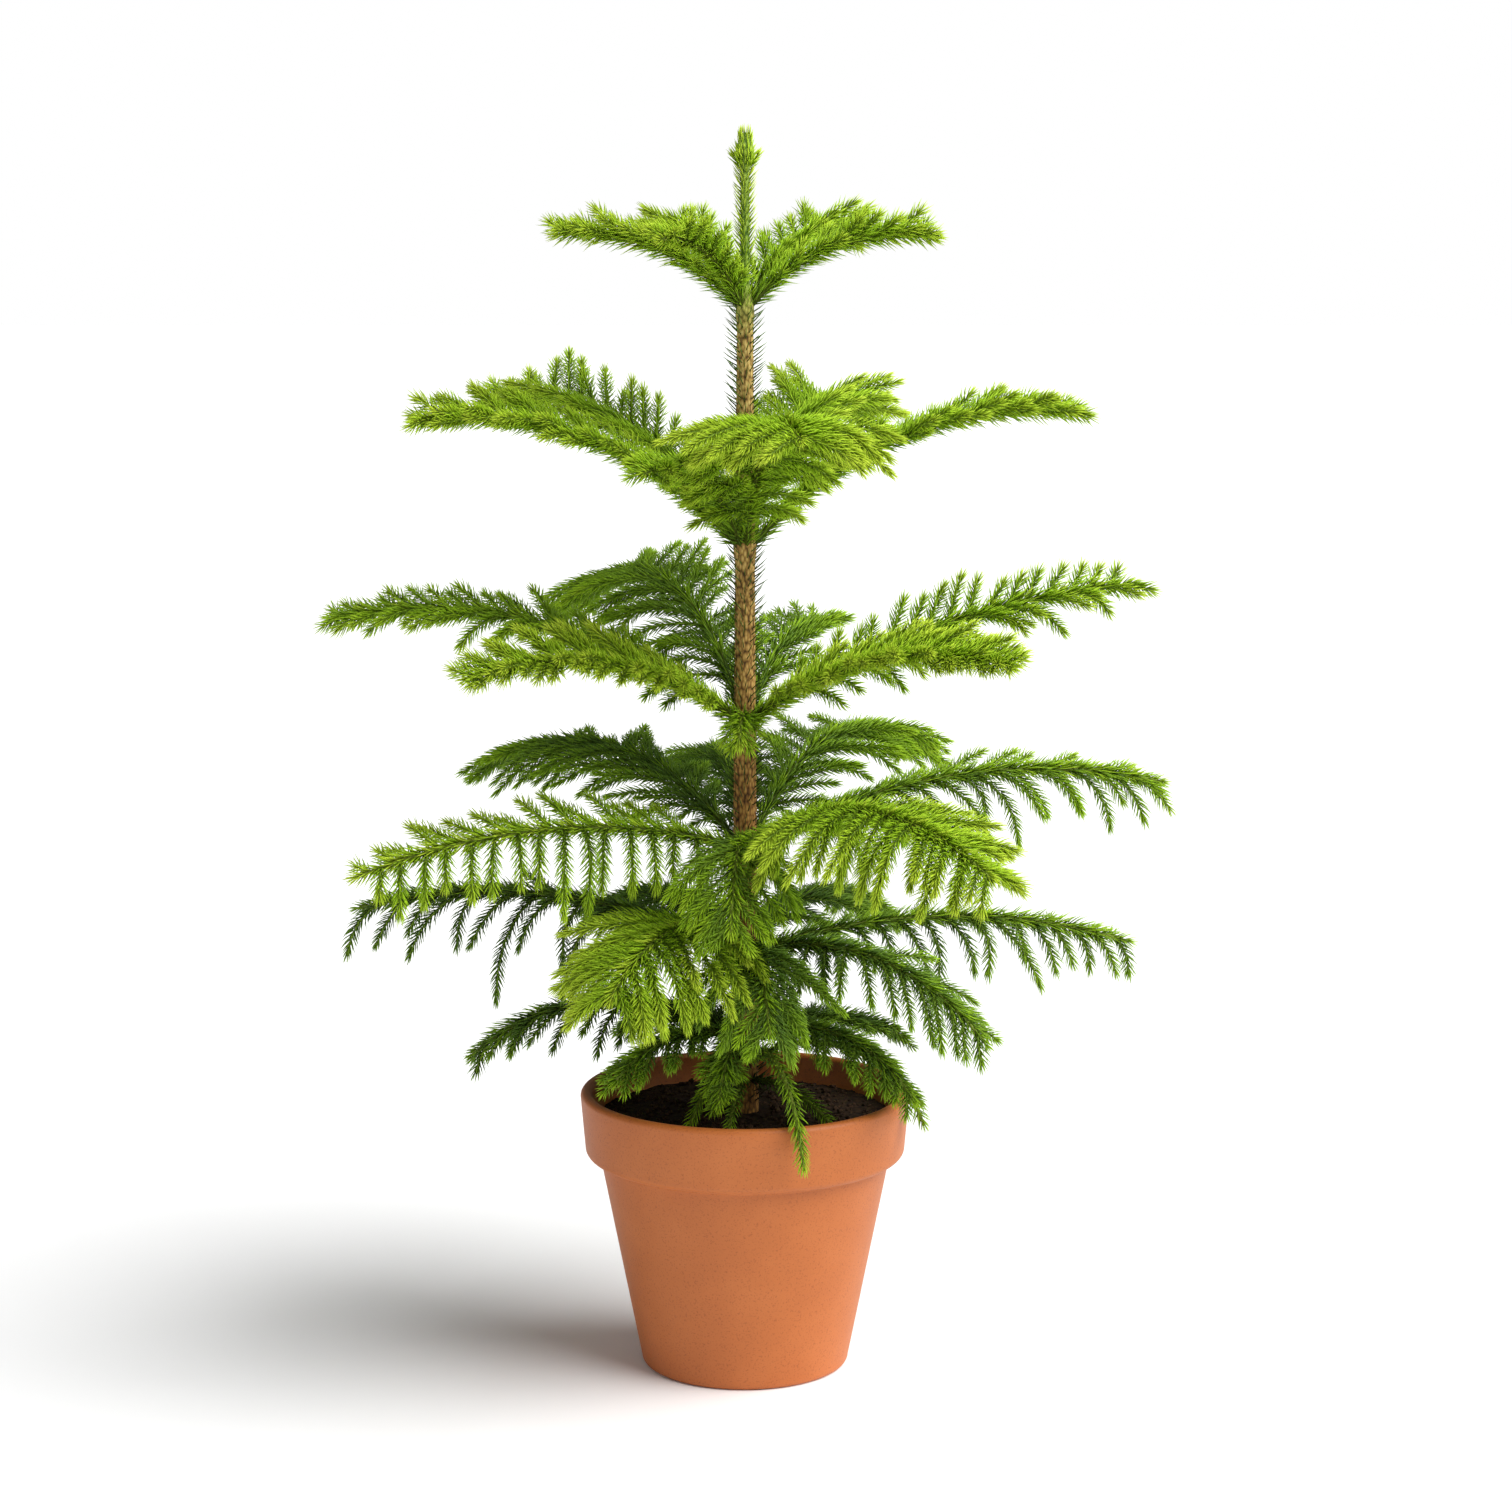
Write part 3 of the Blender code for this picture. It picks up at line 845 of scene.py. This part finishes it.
def bent(points, route, across, roll):
    # Points along X are laid on a route; Y and Z turn with it, rolled about it.
    marks = np.concatenate([[0], np.cumsum(np.linalg.norm(np.diff(route, axis=0), axis=1))])
    tangents = np.gradient(route, marks, axis=0)
    x = points[:, 0]
    inside = np.clip(x, 0, marks[-1])
    at = np.stack([np.interp(inside, marks, route[:, k]) for k in range(3)], 1)
    forward = np.stack([np.interp(inside, marks, tangents[:, k]) for k in range(3)], 1)
    forward /= np.linalg.norm(forward, axis=1)[:, None]
    side = across - forward * (forward @ across)[:, None]
    side /= np.linalg.norm(side, axis=1)[:, None]
    up = np.cross(side, forward)
    y = points[:, 1] * math.cos(roll) - points[:, 2] * math.sin(roll)
    z = points[:, 1] * math.sin(roll) + points[:, 2] * math.cos(roll)
    return at + forward * (x - inside)[:, None] + side * y[:, None] + up * z[:, None]


def heading(bearing, pitch):
    b, p = np.radians(bearing), np.radians(pitch)
    return np.stack([np.cos(b) * np.cos(p), np.sin(b) * np.cos(p), np.sin(p) + 0 * b], -1)


def axisRoute(height, bearing, length, pitch, tipPitch):
    steps = foliageSettings["routeSteps"]
    middle = (np.arange(steps) + 0.5) / steps
    forward = heading(bearing, pitch + (tipPitch - pitch) * middle)
    start = heading(bearing, 0) * (trunkRadius(height) - 0.001) + np.array([0, 0, height])
    return start + np.concatenate([np.zeros((1, 3)), np.cumsum(forward * length / steps, 0)])


def shootLength(share, at, longest):
    # The longest shoots stand at a share of the branch; inward and outward they shorten.
    s = foliageSettings
    if share < at:
        return longest * (1 + share - at)
    return longest * (1 - s["tipShortening"] * ((share - at) / (1 - at)) ** s["tipPower"])


def shootRoute(root, flat, length, lift, curve):
    # It leaves the axis higher than its chord and ends lower.
    ends = [flat * math.cos(math.radians(a)) + np.array([0, 0, math.sin(math.radians(a))])
            for a in (lift + curve, lift - curve)]
    t = np.linspace(0, 1, 9)[:, None]
    return root + length * (ends[0] * t + (ends[1] - ends[0]) * t * t / 2)


def placeRanks(branch, length, longestAt, route, across, kit, chance):
    # The shoots of both ranks: mesh, route, level, start, stretch, roll and freshness, which carries
    # painted light and shade.
    s = foliageSettings
    bearing, _, pitch, tipPitch, sweep, longLeft, longRight, left, right, step, freshAndLight = branch
    bare, stray = s["bareShare"], s["degreesStray"]
    lowest, fullyAged = s["hangingSpan"]
    marks = np.linspace(0, 1, len(route))
    stations = round(1000 * length * (1 - bare) / step) if step else 0
    placed = []
    for i in range(stations):
        for side, longest, lift in ((-1, longLeft, left), (1, longRight, right)):
            along = i + 0.5 + s["rankStagger"] * side
            along += chance.uniform(-s["stationStray"], s["stationStray"])
            share = bare + (1 - bare) * along / (stations + 0.3)
            root = np.array([np.interp(share, marks, route[:, k]) for k in range(3)])
            forward = heading(bearing, pitch + (tipPitch - pitch) * share)
            swept = sweep + s["sweepGain"] * (share - s["sweepMiddle"])
            swept = math.radians(swept + chance.uniform(-stray, stray))
            flat = across * side * math.cos(swept) + forward * math.sin(swept)
            flat /= np.linalg.norm(flat)
            # The shoots of a rank that hangs steeply are more uneven.
            ragged = s["hangingRagged" if lift < s["hangingLift"] else "ragged"]
            long = shootLength(share, longestAt, longest)
            long *= chance.uniform(1 - ragged, s["longest"])
            lift = lift + chance.uniform(-stray, stray)
            bow = s["bow"] + s["hangingBow"] * max(0, -lift)
            bow = bow * min(1, long / s["bowLength"]) * chance.uniform(*s["bowRange"])
            shoot = shootRoute(root, flat, long, lift, bow)
            which = min(range(len(s["classes"])),
                        key=lambda k: abs(math.log(long / s["classes"][k])))
            mesh = kit[which][chance.randrange(s["variants"])]
            level = np.cross(shoot[-1] - shoot[0], [0, 0, 1])
            # A shoot's freshness starts from its branch's, painted light and shade included.
            shootFreshAndLight = freshAndLight + s["freshGain"] * (share - 0.5)
            shootFreshAndLight += chance.uniform(-s["freshStray"], s["freshStray"])
            shootFreshAndLight -= s["hangingAge"] * min(max((-lift - lowest) / (fullyAged - lowest), 0), 1)
            placed.append((mesh, shoot, level / np.linalg.norm(level), 0,
                           long / s["classes"][which], chance.uniform(0, math.tau), shootFreshAndLight))
    return placed


def buildFrond(name, node, height, longestAt, branch, kit, chance, material):
    s = foliageSettings
    bearing, arcLength, pitch, tipPitch = branch[:4]
    step, freshAndLight = branch[-2:]
    across = np.cross(heading(bearing, 0), [0, 0, 1])
    length = arcLength - s["tipNeedles"]
    route = axisRoute(height, bearing, length, pitch, tipPitch)
    shoots = kit["plush" if freshAndLight > s["plushFrom"] else "feather"]
    placed = placeRanks(branch, length, longestAt, route, across, shoots, chance)
    dressed = length - s["sleeveEnd"]
    sleeves = max(1, int((length - 0.016) / s["sleeve"]))
    low, high = s["sleeveFresh"]
    for i in range(sleeves):
        sleeve = kit["sleeve" if step else "sprig"][i % s["variants"]]
        placed.append((sleeve, route, across, dressed * i / sleeves,
                       dressed / sleeves / s["sleeve"], chance.uniform(0, math.tau),
                       freshAndLight + low + (high - low) * i / sleeves))
    placed.append((shoots[2][0], route, across, length - s["tipShoot"], 1, 0,
                   freshAndLight + s["tipFresh"]))

    bm = mappedBmesh()
    addStem(bm, length, s["twigRadii"], 7, 14, mapSettings["twig"])
    vertEnds, loopEnds = [len(bm.verts)], [sum(len(f.loops) for f in bm.faces)]
    for item in placed:
        bm.from_mesh(item[0])
        vertEnds.append(vertEnds[-1] + len(item[0].vertices))
        loopEnds.append(loopEnds[-1] + len(item[0].loops))
    mesh = toMesh(name, bm)

    points, places = readPoints(mesh), readMap(mesh)
    points[:vertEnds[0]] = bent(points[:vertEnds[0]], route, across, 0)
    stalest, freshest = s["freshRange"]
    for k, (_, way, level, at, stretch, roll, shootFreshAndLight) in enumerate(placed):
        span = slice(vertEnds[k], vertEnds[k + 1])
        points[span] = bent(points[span] * [stretch, 1, 1] + [at, 0, 0], way, level, roll)
        span = slice(loopEnds[k], loopEnds[k + 1])
        # Each piece's map u carries its freshness with its painted light and shade.
        places[span, 0] = placeOnMap(places[span, 0], min(max(shootFreshAndLight, stalest), freshest))
    writePoints(mesh, points)
    writeMap(mesh, places)
    shadeSmooth(mesh)
    addPiece(name, mesh, material, [node])
    return len(mesh.polygons)


def buildFoliage():
    s = foliageSettings
    needle = needleMesh()
    variants = range(s["variants"])
    kit = {}
    for name in ("plush", "feather"):
        kit[name] = [[shootMesh(needle, length, dresses[name], 100 * k + v) for v in variants]
                     for k, length in enumerate(s["classes"])]
    for name, seed in s["kitSeeds"].items():
        kit[name] = [sleeveMesh(needle, dresses[name], seed + v) for v in variants]
    print("shoot kit built")
    material = pineNeedles()
    chance = random.Random(s["seed"])
    total = 0
    for tier, (height, longestAt, branches) in tiers.items():
        for number, branch in enumerate(branches, 1):
            node = f"{tier}_{number}" if tier.endswith("sprig") else f"{tier}_branch_{number}"
            total += buildFrond(f"frond_{tier}_{number}", node, height, longestAt, branch,
                                kit, chance, material)
        print("fronds built:", tier, total, "faces so far")
    return needle, material


# Needles on the stem itself: the heights between which they grow, their dress and how
# fresh they are, for the trunk, the leader and the bud with its three side buds.
stemNeedleSettings = {
    "trunk": (0.146, 0.574),
    "trunkDress": {"perMetre": 2300, "size": 0.0105, "lean": (46, 66), "tipLean": None,
                   "reach": (0.0066, 0.0036)},
    "trunkFresh": 0.10,
    "leader": (0.574, 0.654),
    "leaderDress": {"perMetre": 3300, "size": 0.0074, "lean": (38, 54), "tipLean": None,
                    "reach": (0.0024, 0.0019)},
    "leaderFresh": 0.86,
    "bud": (0.650, 0.668),
    "budDress": {"perMetre": 5200, "size": 0.0066, "lean": (14, 30), "tipLean": 4,
                 "reach": (0.0036, 0.0022)},
    "budFresh": 0.80,
    # A side bud's length and the height of its foot, then the bearing and pitch of each.
    "sideBud": 0.0085,
    "sideBudFoot": 0.651,
    "sideBuds": ((30, 40), (150, 36), (268, 42)),
    "seed": 23,
}


def stemNeedleMesh(name, needle, part, seed):
    s = stemNeedleSettings
    low, high = s[part]
    bm = mappedBmesh()
    needlesAlong(bm, needle, high - low, s[part + "Dress"], random.Random(seed))
    upright = Matrix.Translation((0, 0, low)) @ Matrix.Rotation(-math.pi / 2, 4, "Y")
    bmesh.ops.transform(bm, verts=bm.verts, matrix=upright)
    mesh = toMesh(name, bm)
    ageMesh(mesh, s[part + "Fresh"])
    shadeSmooth(mesh)
    return mesh


def joined(name, meshes):
    # One mesh of them all, their maps kept.
    bm = mappedBmesh()
    for mesh in meshes:
        bm.from_mesh(mesh)
    out = toMesh(name, bm)
    shadeSmooth(out)
    return out


def buildStemNeedles(needle, material):
    s = stemNeedleSettings
    trunkPart = stemNeedleMesh("stemNeedles", needle, "trunk", s["seed"])
    addPiece("stemNeedles", trunkPart, material)
    parts = [stemNeedleMesh(part, needle, part, s["seed"] + k)
             for k, part in enumerate(("leader", "bud"), 1)]
    for k, (bearing, pitch) in enumerate(s["sideBuds"]):
        bud = shootMesh(needle, s["sideBud"], s["budDress"], s["seed"] + 10 + k)
        bud.transform(
            Matrix.Translation((0, 0, s["sideBudFoot"]))
            @ Matrix.Rotation(math.radians(bearing), 4, "Z")
            @ Matrix.Rotation(-math.radians(90 - pitch), 4, "Y")
        )
        ageMesh(bud, s["budFresh"])
        parts.append(bud)
    addPiece("leaderNeedles", joined("leaderNeedles", parts), material)


needle, needleMaterial = buildFoliage()
buildStemNeedles(needle, needleMaterial)
print("stem needles built")
